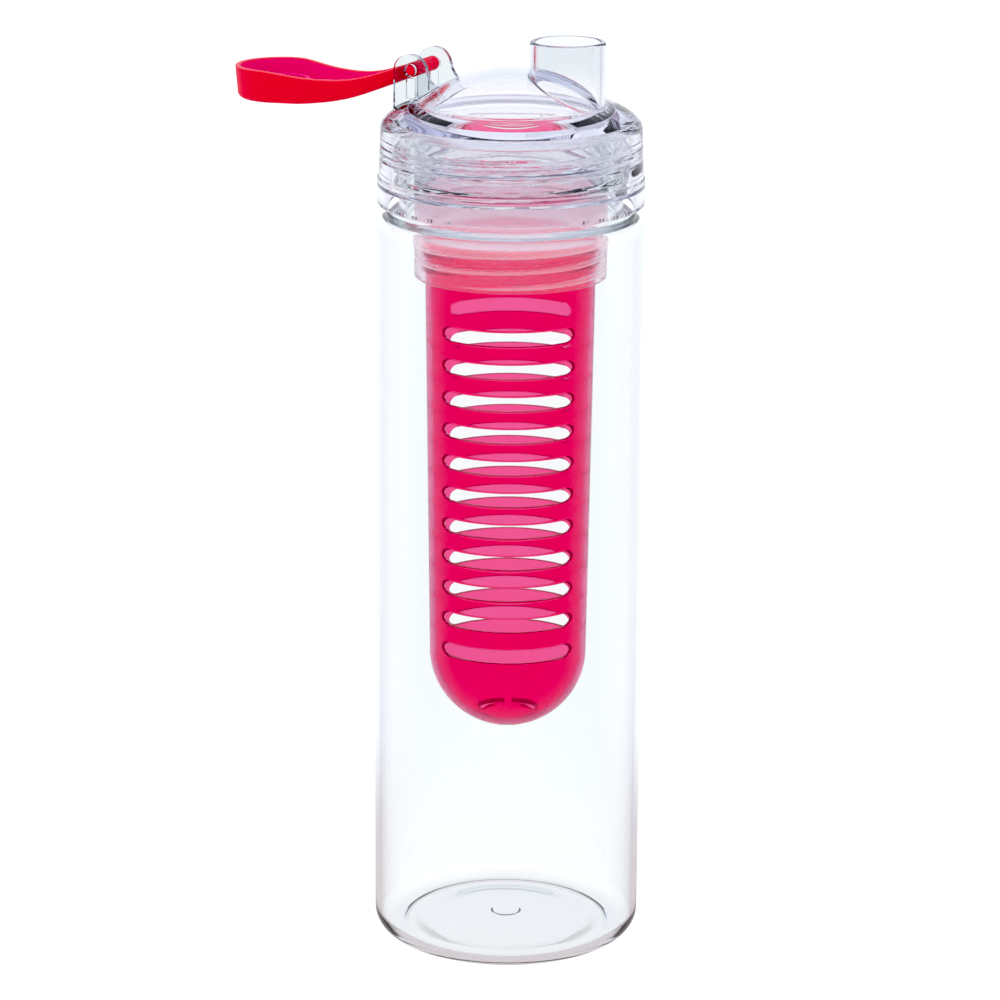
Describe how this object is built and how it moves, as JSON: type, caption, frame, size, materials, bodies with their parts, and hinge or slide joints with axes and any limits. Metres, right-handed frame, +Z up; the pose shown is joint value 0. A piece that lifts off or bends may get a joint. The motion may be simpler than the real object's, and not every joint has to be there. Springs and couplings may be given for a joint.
{
  "type": "fruit infuser water bottle",
  "caption": "Clear cylindrical water bottle with a screw lid, drinking spout, flip-over spout cap and a slotted fruit infuser basket hung from a collar inside the lid.",
  "frame": {"origin": "centre of the resting face, on the bottle's axis", "axes": "+Z up along the bottle's axis, +X from the hinge lugs towards the drinking spout, Y along the cap's hinge"},
  "size_m": [0.1172, 0.073, 0.2494],
  "materials": {
    "clear_body": "clear polished copolyester, blow moulded",
    "clear_lid": "clear polished copolyester, injection moulded",
    "silicone": "soft translucent white silicone",
    "frosted": "frosted translucent polypropylene",
    "magenta": "translucent magenta plastic, satin gloss",
    "red": "soft red plastic, satin"
  },
  "bodies": {
    "bottle": {"bottle_body": "clear_body"},
    "seal": {"lid_seal": "silicone"},
    "lid": {"lid": "clear_lid"},
    "collar": {"infuser_collar": "frosted"},
    "basket": {"infuser_basket": "magenta"},
    "cap": {"spout_cap": "red"}
  },
  "joints": [
    {"name": "lid_rise", "type": "slide", "parent": "bottle", "child": "seal", "axis": [0, 0, 1], "range_m": [0, 0.0105]},
    {"name": "lid_turn", "type": "hinge", "parent": "seal", "child": "lid", "pos_m": [0, 0, 0.215], "axis": [0, 0, 1], "range_deg": [0, 900]},
    {"name": "collar_turn", "type": "hinge", "parent": "lid", "child": "collar", "pos_m": [0, 0, 0.2], "axis": [0, 0, 1], "range_deg": [0, 900]},
    {"name": "basket_drop", "type": "slide", "parent": "lid", "child": "basket", "axis": [0, 0, -1], "range_m": [0, 0.0105]},
    {"name": "cap_flip", "type": "hinge", "parent": "lid", "child": "cap", "pos_m": [-0.02594, 0, 0.23975], "axis": [0, 1, 0], "range_deg": [0, 180]}
  ],
  "couplings": [
    {"joint": "lid_rise", "follows": "lid_turn", "m_per_rad": 0.00066845},
    {"joint": "basket_drop", "follows": "collar_turn", "m_per_rad": 0.00066845}
  ]
}
